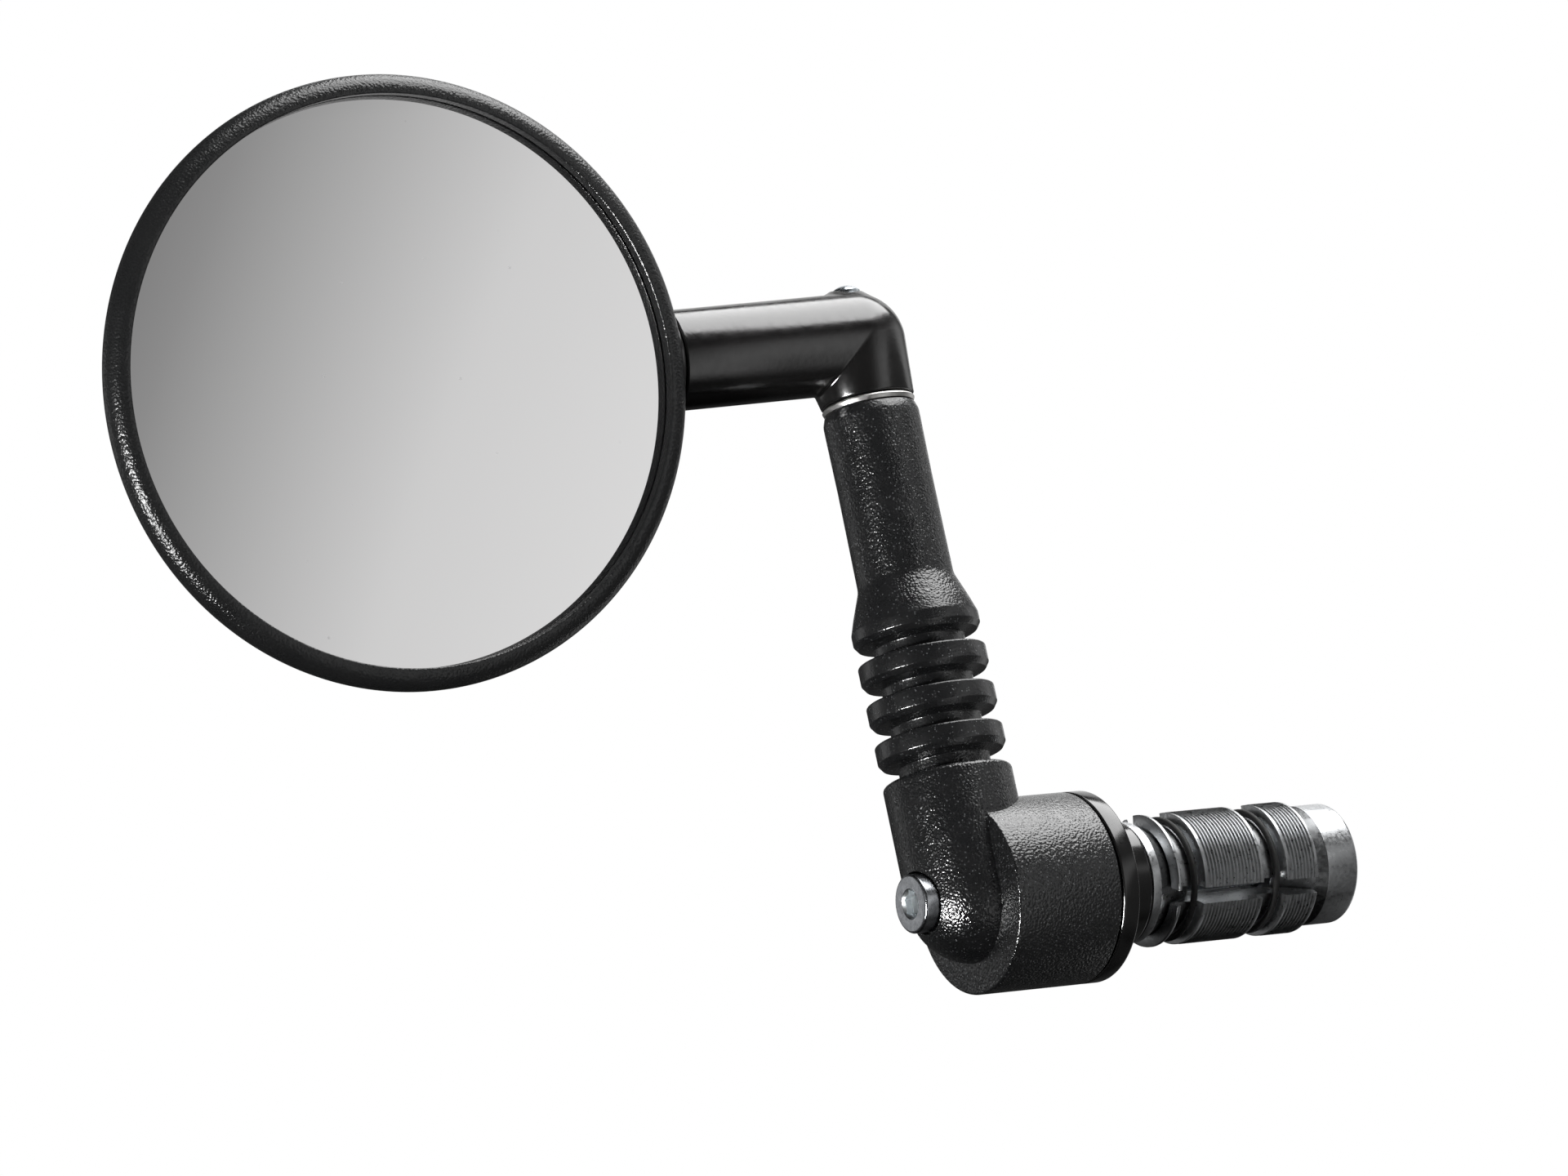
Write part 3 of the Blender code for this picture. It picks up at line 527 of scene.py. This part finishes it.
def jaw_corners():
    """Section of a jaw: wedge faces at both ends, two band grooves and grip teeth on its outer side."""
    inset, groove_half, groove_floor = 2.0, 1.9, PLUG_RADIUS - 1.7
    early = 0.7  # the grooves start early, so that the bands stay clear as the jaws move
    near, far = FRONT_CONE_X + inset, REAR_CONE_X - inset
    end_radius = CONE_BIG - inset * math.tan(WEDGE_ANGLE) + GAP / math.cos(WEDGE_ANGLE)
    bore = CONE_SMALL + GAP
    run = (end_radius - bore) / math.tan(WEDGE_ANGLE)
    grooves = [(middle - groove_half - early, middle + groove_half - early) for middle in (BAND_FRONT_X, BAND_REAR_X)]
    lands = [(near + 0.3, grooves[0][0]), (grooves[0][1], grooves[1][0]), (grooves[1][1], far - 0.3)]
    outer = [(end_radius, far, 0.15)]
    tooth, tooth_depth, plain_edge, fewest_teeth = 0.55, 0.16, 0.3, 3
    for k in (2, 1, 0):
        low, high = lands[k]
        outer += [(PLUG_RADIUS, high, 0.12)]
        count = int((high - low - 2 * plain_edge) / tooth)
        first = (low + high + count * tooth) / 2
        for i in range(count if count >= fewest_teeth else 0):
            top = first - i * tooth
            outer += [(PLUG_RADIUS, top - 0.05), (PLUG_RADIUS - tooth_depth, top - tooth / 2)]
        outer += [(PLUG_RADIUS, low, 0.12)]
        if k > 0:
            outer += [(groove_floor, low, 0.2), (groove_floor, lands[k - 1][1], 0.2)]
    return outer + [(end_radius, near, 0.15), (bore, near + run, 0.2), (bore, far - run, 0.2)]


def make_jaws():
    slot, reach = 2.2, 20.0
    apex = slot / 2 / math.sin(math.radians(60))
    side = (apex + reach * math.cos(math.radians(60)), reach * math.sin(math.radians(60)))
    for i in range(3):
        name = "expander_jaw_%d" % (i + 1)
        jaw = lathe("grip_jaw_%d" % (i + 1), rounded(jaw_corners(), True, 3), BAR_FRAME, ALLOY, 108, True)
        turn = BAR_FRAME @ Matrix.Rotation(2 * math.pi * i / 3, 4, "Z")
        sector = prism("jaw_sector", [(apex, 0), (side[0], -side[1]), side], 0, 45, turn)
        show(carve(jaw, [sector], "INTERSECT"), "jaw_%d" % (i + 1), "turned_alloy", name)


def make_bands():
    band_radius, cord_radius = PLUG_RADIUS - 0.95, 0.45
    for name, middle in (("jaw_band_front", BAND_FRONT_X), ("jaw_band_rear", BAND_REAR_X)):
        profile = arc((band_radius, middle), cord_radius, 90, -270, 16)[:-1]
        band = lathe(name + "_ring", profile, BAR_FRAME, RUBBER, 96, True)
        show(band, "bar_plug", "black_rubber", name)


def thread_depth(angle, height, start, end):
    """Depth of a right-hand thread below its crest, with flat crests and roots. It runs out at both ends."""
    root_depth, start_fade, end_fade = 0.33, 0.8, 0.6
    phase = (height / BOLT_PITCH - angle / (2 * math.pi)) % 1.0
    flank = abs(phase - 0.5) * 2
    depth = root_depth * min(max(flank * 1.25 - 0.12, 0.0), 1.0)
    fade = min((height - start) / start_fade, (end - height) / end_fade, 1.0)
    return depth * max(fade, 0.0)


def make_bolt():
    """Socket-head bolt, with its thread, chamfered socket and rounded rim."""
    seat, end = ARM_X - SPOT_FACE_FROM_ARM - GAP, REAR_CONE_X + BOLT_PAST_CONE
    face = ARM_X - BOLT_HEAD_FROM_ARM
    thread_end, tip_radius = end - 0.5, BOLT_RADIUS - 0.5
    steps, layers_per_turn = 48, 9
    head = [(0, face), (2.25, face, 0.05), (BOLT_HEAD_RADIUS, face, 0.42), (BOLT_HEAD_RADIUS, seat, 0.15),
            (BOLT_RADIUS, seat, 0.12), (BOLT_RADIUS, THREAD_START_X)]
    form = bmesh.new()
    rows = [circle(form, r, h, steps) for r, h in rounded(head, steps=7)]
    layers = int((thread_end - THREAD_START_X) / (BOLT_PITCH / layers_per_turn))
    for k in range(1, layers + 1):
        h = THREAD_START_X + (thread_end - THREAD_START_X) * k / layers
        row = []
        for a in angles_round(steps):
            r = (BOLT_RADIUS - thread_depth(a, h, THREAD_START_X, thread_end)) * MM
            row.append(form.verts.new((r * math.cos(a), r * math.sin(a), h * MM)))
        rows.append(row)
    rows += [circle(form, tip_radius, end, steps), circle(form, 0, end, steps)]
    skin(form, rows, False)
    bolt = stand("anchor_screw", mesh_from(form, "anchor_screw"), BAR_FRAME, BOLT_ZINC)
    flat, socket_floor = HEX_ACROSS_FLATS / 2, face + 1.3
    mouth_floor = face + 0.45
    socket = prism("bolt_socket", hexagon(HEX_ACROSS_FLATS), face - 1, socket_floor, BAR_FRAME)
    entry = lathe("socket_mouth", [(0, face - 0.5), (HEX_MOUTH + 0.1, face - 0.5), (HEX_MOUTH, face),
                                   (HEX_MOUTH - 0.5, mouth_floor), (0, mouth_floor)], BAR_FRAME, None, 64)
    point = lathe("socket_point", [(0, face + 1), (flat, face + 1), (flat, socket_floor), (0, socket_floor + 0.6)],
                  BAR_FRAME, None, 48)
    show(carve(bolt, [entry, socket, point]), "bolt", "zinc_steel", "anchor_bolt")


# ---- ribbed arm ----

def ring_corners(bottom, side, radius):
    """One ring, from its upper edge to the chamfer that runs into the neck below."""
    return [(radius, bottom + side, 0.35), (radius, bottom + 0.1, 0.3), (radius - 0.55, bottom - 0.7, 0.25),
            (NECK_RADIUS, bottom - 1.15, 0.25)]


def arm_profile():
    bore = [(0, 49.0), (2.3, 49.0), (2.3, 54.0), (3.9, 54.0), (3.9, 66.2), (4.7, 66.2), (4.7, ARM_TOP_Z, 0.15)]
    outer = [(SHAFT_RADIUS - 0.55, ARM_TOP_Z), (SHAFT_RADIUS - 0.35, ARM_TOP_Z - 0.1, 0.1),
             (SHAFT_RADIUS, ARM_TOP_Z - 1.1, 1.5), (SHAFT_RADIUS, 66.0), (SHAFT_RADIUS - 0.08, 58.0),
             (SHAFT_RADIUS - 0.04, 50.0), (SHAFT_RADIUS, 44.0, 3.0), (8.05, 40.2, 2.5)]
    flare = ring_corners(FLARE_Z, FLARE_SIDE, RING_RADIUS - 0.05)
    outer += [(flare[0][0], flare[0][1] - 0.6, 1.2)] + flare[1:]
    for i in reversed(range(RING_COUNT)):
        bottom = FIRST_RING_Z + i * RING_PITCH
        outer.append((NECK_RADIUS, bottom + RING_SIDE, 0.2))
        outer += ring_corners(bottom, RING_SIDE, RING_RADIUS)
    outer += [(NECK_RADIUS, STUB_TOP_Z, 0.2), (STUB_RADIUS, STUB_TOP_Z, 0.75)]
    profile = rounded(bore + outer + [(STUB_RADIUS, 0)], steps=5)
    return profile + arc((0, 0), STUB_RADIUS, 0, -90, 28)[1:-1] + [(0, -STUB_RADIUS)]


def make_arm():
    """Ribbed shaft, round-ended stub and the hub behind it."""
    front, back = -HUB_EDGE_FROM_ARM, -COLLAR_WIDTH - GAP - ARM_X
    crown, pocket_radius, pocket_depth = front - 0.25, 11.4, 0.9
    corners = [(0, back - pocket_depth), (pocket_radius, back - pocket_depth, 0.1), (pocket_radius, back, 0.1),
               (HUB_RADIUS, back, 0.28), (HUB_RADIUS, front, 0.38), (7.0, crown), (0, crown)]
    arm = lathe("grained_arm", arm_profile(), ARM_FRAME, NYLON, 144)
    hub = lathe("hub", rounded(corners), HUB_FRAME, None, 176)
    carve(arm, [hub], "UNION")
    spot_profile = [(0, -14), (SPOT_FACE_RADIUS, -14), (SPOT_FACE_RADIUS, -SPOT_FACE_FROM_ARM),
                    (0, -SPOT_FACE_FROM_ARM)]
    spot = lathe("spot_face", spot_profile, HUB_FRAME, None, 96)
    bore = lathe("bolt_bore", [(0, -12), (BOLT_BORE, -12), (BOLT_BORE, 20), (0, 20)], HUB_FRAME, None, 48)
    carve(arm, [spot, bore])
    show(arm, "arm", "textured_nylon", "ribbed_arm")


def make_seam_washer():
    low = ARM_TOP_Z + SEAM_GAP
    high = low + SEAM_WASHER
    corners = [(2.3, high, 0.05), (6.22, high, 0.2), (6.39, high - 0.26, 0.1), (6.18, low, 0.06), (2.3, low, 0.05)]
    washer = lathe("bright_washer", rounded(corners, True), ARM_FRAME, BRIGHT_STEEL, 128, True)
    show(washer, "arm", "stainless_steel", "seam_washer")


def make_swivel_screw():
    """Domed screw down the arm's axis, with a hexagonal socket."""
    low, high, end = TUBE_Z + SCREW_SEAT_H + GAP, TUBE_Z + TUBE_RADIUS + 1.25, 52.0
    radius, dome, shank = SCREW_HEAD_RADIUS, 0.95, 1.25
    sphere = (radius ** 2 + dome ** 2) / (2 * dome)
    half = math.degrees(math.asin(radius / sphere))
    cap = arc((0, high - sphere), sphere, 90, 90 - half, 12)
    corners = [(radius, high - dome), (radius, low), (shank, low, 0.1), (shank, end + 0.5), (0.9, end),
               (0, end)]
    screw = lathe("pivot_screw", [(0, high)] + cap[1:-1] + rounded(corners), ARM_FRAME, ZINC, 72)
    socket = prism("pivot_socket", hexagon(1.5), high - 1.4, high + 1, ARM_FRAME)
    show(carve(screw, [socket]), "arm", "zinc_steel", "swivel_screw")


# ---- elbow and tube ----

def elbow_line(angle, stub_end):
    """One lengthwise line of the elbow's skin. Angle 0 is the outer side of the bend.

    The tube and the stub meet in a mitre, which is rounded only on the outer side.
    """
    outward, across = math.cos(angle), math.sin(angle)
    tip = -TUBE_LENGTH - SPIGOT_LENGTH
    corners = [(tip, 2.8), (tip, SPIGOT_RADIUS, 0.3), (-TUBE_LENGTH, SPIGOT_RADIUS, 0.1),
               (-TUBE_LENGTH, TUBE_RADIUS, 0.3), (TUBE_RADIUS - 20, TUBE_RADIUS)]
    points = [(x, across * r, outward * r) for x, r in rounded(corners)]
    corner = TUBE_RADIUS * outward
    steps = 14
    bend = CORNER_SHARP + (CORNER_RADIUS - CORNER_SHARP) * max(outward, 0.0)
    for i in range(steps + 1):
        turn = math.pi / 2 * i / steps
        points.append((corner - bend + bend * math.sin(turn), across * TUBE_RADIUS,
                       corner - bend + bend * math.cos(turn)))
    taper = [(TUBE_RADIUS, -TUBE_RADIUS), (STUB_END_RADIUS, stub_end + 0.2, 0.3), (STUB_END_RADIUS - 0.4, stub_end)]
    points += [(outward * r, across * r, z) for r, z in rounded(taper)[1:]]
    return points


def elbow_top(x, y):
    """Height of the elbow's upper skin over a point of the tube's plane."""
    corner = TUBE_RADIUS * math.sqrt(1 - (y / TUBE_RADIUS) ** 2)
    bend = CORNER_SHARP + (CORNER_RADIUS - CORNER_SHARP) * corner / TUBE_RADIUS
    past = max(x - corner + bend, 0.0)
    return corner - bend + math.sqrt(bend ** 2 - past ** 2)


def make_boss():
    """Raised boss round the swivel screw. It sweeps down into the elbow's skin, and is higher along the tube."""
    rise_across, rise_along, top_radius, foot_radius = 0.28, 0.62, 2.35, 4.2
    sunk, floor_h, sides, layers = 0.03, 3.0, 96, 12
    form = bmesh.new()
    rows = [circle(form, 0, TUBE_RADIUS + rise_across, sides)]
    for k in range(layers + 1):
        share = k / layers
        r = top_radius + (foot_radius - top_radius) * share
        stays = (1 - share) ** 2 * (1 + 0.6 * share)
        row = []
        for a in angles_round(sides):
            x, y = r * math.cos(a), r * math.sin(a)
            rise = rise_across + (rise_along - rise_across) * math.cos(a) ** 2
            row.append(form.verts.new(Vector((x, y, elbow_top(x, y) - sunk + rise * stays)) * MM))
        rows.append(row)
    rows += [circle(form, foot_radius, floor_h, sides), circle(form, 0, floor_h, sides)]
    skin(form, rows, False)
    return stand("screw_boss", mesh_from(form, "screw_boss"), ELBOW_FRAME)


def make_elbow():
    """Smooth tube with its mitred elbow and the raised boss round the swivel screw."""
    stub_end = ARM_TOP_Z + 2 * SEAM_GAP + SEAM_WASHER - TUBE_Z
    sides = 144
    form = bmesh.new()
    lines = [elbow_line(angle, stub_end) for angle in angles_round(sides)]
    rows = [[form.verts.new(Vector(line[k]) * MM) for line in lines] for k in range(len(lines[0]))]
    skin(form, rows, False)
    form.faces.new(rows[0])
    form.faces.new(rows[-1])
    elbow = stand("smooth_elbow", mesh_from(form, "smooth_elbow"), ELBOW_FRAME, SATIN)
    carve(elbow, [make_boss()], "UNION")
    sink_radius = SCREW_HEAD_RADIUS + SEAM_GAP
    sink_profile = [(0, 10), (sink_radius, 10), (sink_radius, SCREW_SEAT_H), (SCREW_BORE, SCREW_SEAT_H),
                    (SCREW_BORE, -12), (0, -12)]
    sink = lathe("counterbore", sink_profile, ELBOW_FRAME, None, 72)
    bore_radius, inner, outer = 2.75, TUBE_LENGTH + 5.0, TUBE_LENGTH + SPIGOT_LENGTH + 1
    bore_profile = [(0, outer), (bore_radius, outer), (bore_radius, inner), (0, inner)]
    bore = lathe("spigot_bore", bore_profile, TUBE_FRAME, None, 48)
    carve(elbow, [sink, bore])
    show(elbow, "elbow", "satin_black", "elbow_tube")


# ---- mirror head ----

def curve_drop(r):
    """How far the convex glass falls from its middle at radius r."""
    return GLASS_CURVE - math.sqrt(GLASS_CURVE ** 2 - r ** 2)


def make_glass():
    """Convex glass with a ground bevel round its edge."""
    crown = GLASS_EDGE_H + curve_drop(GLASS_RADIUS)
    bevel_start, rings = GLASS_RADIUS - 0.35, 24
    radii = [bevel_start * i / rings for i in range(rings + 1)]
    front = [(r, crown - curve_drop(r)) for r in radii]
    low = GLASS_EDGE_H - GLASS_THICKNESS
    edge = [(GLASS_RADIUS - 0.15, GLASS_EDGE_H - 0.4), (GLASS_RADIUS, GLASS_EDGE_H - 0.6), (GLASS_RADIUS, low)]
    back = [(r, crown - GLASS_THICKNESS - curve_drop(r)) for r in reversed(radii[:-1])]
    glass = lathe("convex_mirror", front + edge + back, HEAD_FRAME, MIRROR, 256)
    show(glass, "head", "mirror_silver", "mirror_glass")


def make_rim():
    """Rolled rim round the glass: a round bead with a short skirt behind it."""
    wall, seat = GLASS_RADIUS + GAP, GLASS_EDGE_H + GAP
    bead = arc((RIM_RADIUS - ROLL_RADIUS, LIP_H - ROLL_RADIUS), ROLL_RADIUS, 84, -44, 26)
    lip = rounded([(wall, seat), (LIP_RADIUS, seat, 0.12), (LIP_RADIUS, LIP_H - 0.03, 0.3), bead[0]])
    profile = lip[:-1] + bead + [(wall, bead[-1][1])]
    rim = lathe("rolled_rim", profile, HEAD_FRAME, RIM_BLACK, 288, True)
    show(rim, "head", "satin_black", "mirror_rim")


def make_housing():
    """Domed back shell with the socket that the tube's spigot turns in."""
    shoulder_h, back_h = LEDGE_H - GAP, -7.8
    inner = [(0, back_h + 2.2), (14.6, -4.6, 30), (23.2, -2.9, 30), (29.4, -0.9, 20), (33.4, 1.2, 8),
             (LEDGE_INNER, 2.8, 1), (LEDGE_INNER, LEDGE_H, 0.1)]
    outer = [(GLASS_RADIUS, LEDGE_H, 0.1), (GLASS_RADIUS, shoulder_h), (39.85, shoulder_h, 0.15), (38.7, 3.6, 6),
             (37.0, 1.7, 8), (34.2, -0.4, 12), (30.0, -2.7, 20), (24.0, -4.9, 30), (15.0, -6.7, 40), (0, back_h)]
    housing = lathe("domed_back", rounded(inner + outer, steps=4), HEAD_FRAME, SATIN, 192)
    face_s = HEAD_FROM_ARM - TUBE_LENGTH - SEAM_GAP
    corners = [(0, face_s), (TUBE_RADIUS, face_s, 0.3), (TUBE_RADIUS, 33.0, 1.5), (SOCKET_RADIUS, 29.0, 1.5),
               (SOCKET_RADIUS, SOCKET_INNER_S, 0.2), (0, SOCKET_INNER_S)]
    carve(housing, [lathe("socket", rounded(corners), SOCKET_FRAME, None, 96)], "UNION")
    above, round_rim, round_glass = LIP_H + 1.8, RIM_RADIUS + GAP, GLASS_RADIUS + 0.1
    relief = [(GLASS_RADIUS, above), (round_rim, above), (round_rim, shoulder_h), (GLASS_RADIUS, shoulder_h)]
    level = [(0, above), (round_glass, above), (round_glass, LEDGE_H), (0, LEDGE_H)]
    bore, hole, bore_floor = SPIGOT_RADIUS + GAP, 1.8, SOCKET_INNER_S + 2.7
    tunnel = [(0, 46.0), (bore, 46.0), (bore, bore_floor), (hole, bore_floor), (hole, SOCKET_INNER_S - 2),
              (0, SOCKET_INNER_S - 2)]
    carve(housing, [lathe("relief", relief, HEAD_FRAME, None, 192, True),
                    lathe("level", level, HEAD_FRAME, None, 192),
                    lathe("tunnel", tunnel, SOCKET_FRAME, None, 64)])
    show(housing, "head", "satin_black", "mirror_housing")


# ---- pieces that stay as CAD ----

def finish_cad_nodes():
    """Give the small hidden fittings, whose CAD shapes are kept, their finished materials."""
    finishes = {"friction_washer": WHITE_NYLON, "foam_tape": FOAM, "swivel_insert": BRASS, "tilt_insert": BRASS,
                "swivel_spring_washer": STAINLESS, "tilt_spring_washer": STAINLESS, "tilt_washer": STAINLESS,
                "tilt_screw": ZINC}
    for name, mat in finishes.items():
        obj = frame["nodes"][name]
        obj.data.materials.clear()
        obj.data.materials.append(mat)


# ---- stage ----

def view_direction(right, up, back):
    return (VIEW_RIGHT * right + VIEW_UP * up + VIEW_BACK * back).normalized()


def softbox(name, direction, distance, size, power):
    """Rectangular light in a direction from the object, its width level with the camera's right."""
    facing = view_direction(*direction)
    across = (VIEW_RIGHT - facing * VIEW_RIGHT.dot(facing)).normalized()
    turn = Matrix((across, facing.cross(across), facing)).transposed().to_4x4()
    data = bpy.data.lights.new(name, "AREA")
    data.shape = "RECTANGLE"
    data.size, data.size_y = size
    data.energy = power
    light = bpy.data.objects.new(name, data)
    light.matrix_world = Matrix.Translation(CAMERA_TARGET + facing * distance) @ turn
    light.visible_camera = False
    bpy.context.scene.collection.objects.link(light)


def ramp(tree, value, stops):
    """Grey level for a value from -1 to 1, from a few (value, level) stops."""
    made = node(tree, "ShaderNodeValToRGB", {"Fac": spread(tree, value, 0, 1, -1, 1)})
    elements = made.color_ramp.elements
    while len(elements) < len(stops):
        elements.new(0.5)
    for element, (place, level) in zip(elements, stops):
        element.position = (place + 1) / 2
        element.color = (level, level, level, 1)
    return made.outputs["Color"]


def make_world():
    """White behind the object. Reflections see a dark room with a grey panel on the right."""
    world = bpy.data.worlds.new("studio")
    bpy.context.scene.world = world
    world.use_nodes = True
    tree = world.node_tree
    tree.nodes.clear()
    facing = node(tree, "ShaderNodeTexCoord").outputs["Generated"]

    def along(direction):
        inputs = {0: facing, 1: view_direction(*direction)}
        return node(tree, "ShaderNodeVectorMath", inputs, operation="DOT_PRODUCT").outputs["Value"]

    panel = ramp(tree, along((0.976, -0.216, 0)), ((-1, 0.09), (-0.4, 0.05), (0.3, 0.04), (0.45, 0.14), (0.53, 0.29),
                                                   (0.59, 0.47), (0.66, 0.69), (0.77, 0.8), (0.84, 0.12),
                                                   (1, 0.1)))
    band = ramp(tree, along((0, 1, 0)), ((-0.72, 0.06), (-0.5, 1), (0.36, 1), (0.55, 0.12), (1, 0.3)))
    level = node(tree, "ShaderNodeMix", {0: 1.0, 6: panel, 7: band}, data_type="RGBA", blend_type="MULTIPLY")
    room = node(tree, "ShaderNodeBackground", {"Color": level.outputs[2], "Strength": 1.0})
    white = node(tree, "ShaderNodeBackground", {"Color": (1, 1, 1, 1), "Strength": 1.0})
    seen = node(tree, "ShaderNodeLightPath").outputs["Is Camera Ray"]
    mix = node(tree, "ShaderNodeMixShader", {0: seen, 1: room.outputs[0], 2: white.outputs[0]})
    node(tree, "ShaderNodeOutputWorld", {"Surface": mix.outputs[0]})


def make_floor():
    """Pale round floor below the camera, fading to white at its edge."""
    height, radius, fade_start, fade_end = -320, 1100, 385, 1045
    floor = lathe("floor", [(r, 0) for r in (0, radius / 2, radius)], Matrix.Translation((0, 0, height * MM)),
                  make_matt("pale_floor", (0.88, 0.88, 0.88), (0.84, 0.84, 0.84), 0.7, 3.0, 0.02), 96)
    tree = floor.data.materials[0].node_tree
    level = node(tree, "ShaderNodeVectorMath", {0: where(tree), 1: (1, 1, 0)}, operation="MULTIPLY").outputs["Vector"]
    from_middle = node(tree, "ShaderNodeVectorMath", {0: level}, operation="LENGTH").outputs["Value"]
    fade = spread(tree, from_middle, 0, 1, fade_start * MM, fade_end * MM)
    white = node(tree, "ShaderNodeEmission", {"Color": (1, 1, 1, 1), "Strength": 1.0})
    shader = tree.nodes["Principled BSDF"].outputs[0]
    mix = node(tree, "ShaderNodeMixShader", {0: fade, 1: shader, 2: white.outputs[0]})
    tree.links.new(mix.outputs[0], tree.nodes["Material Output"].inputs["Surface"])
    floor.visible_glossy = False
    floor.visible_diffuse = False


def make_stage():
    bpy.context.scene.view_settings.view_transform = "Standard"
    make_world()
    make_floor()
    softbox("top_softbox", (0.31, 0.92, -0.19), 0.9, (0.74, 1.05), 13.8)
    softbox("low_left_key", (-0.57, -0.42, 0.70), 1.3, (0.36, 0.46), 80)
    softbox("left_panel", (-0.885, -0.07, -0.46), 1.2, (0.5, 0.5), 0.35)
    softbox("rear_fill", (0.1, 0.3, -0.95), 1.9, (1.2, 1.2), 4)


make_collar()
make_cones()
make_nut()
make_jaws()
make_bands()
make_bolt()
make_arm()
make_seam_washer()
make_swivel_screw()
make_elbow()
make_glass()
make_rim()
make_housing()
finish_cad_nodes()
make_stage()
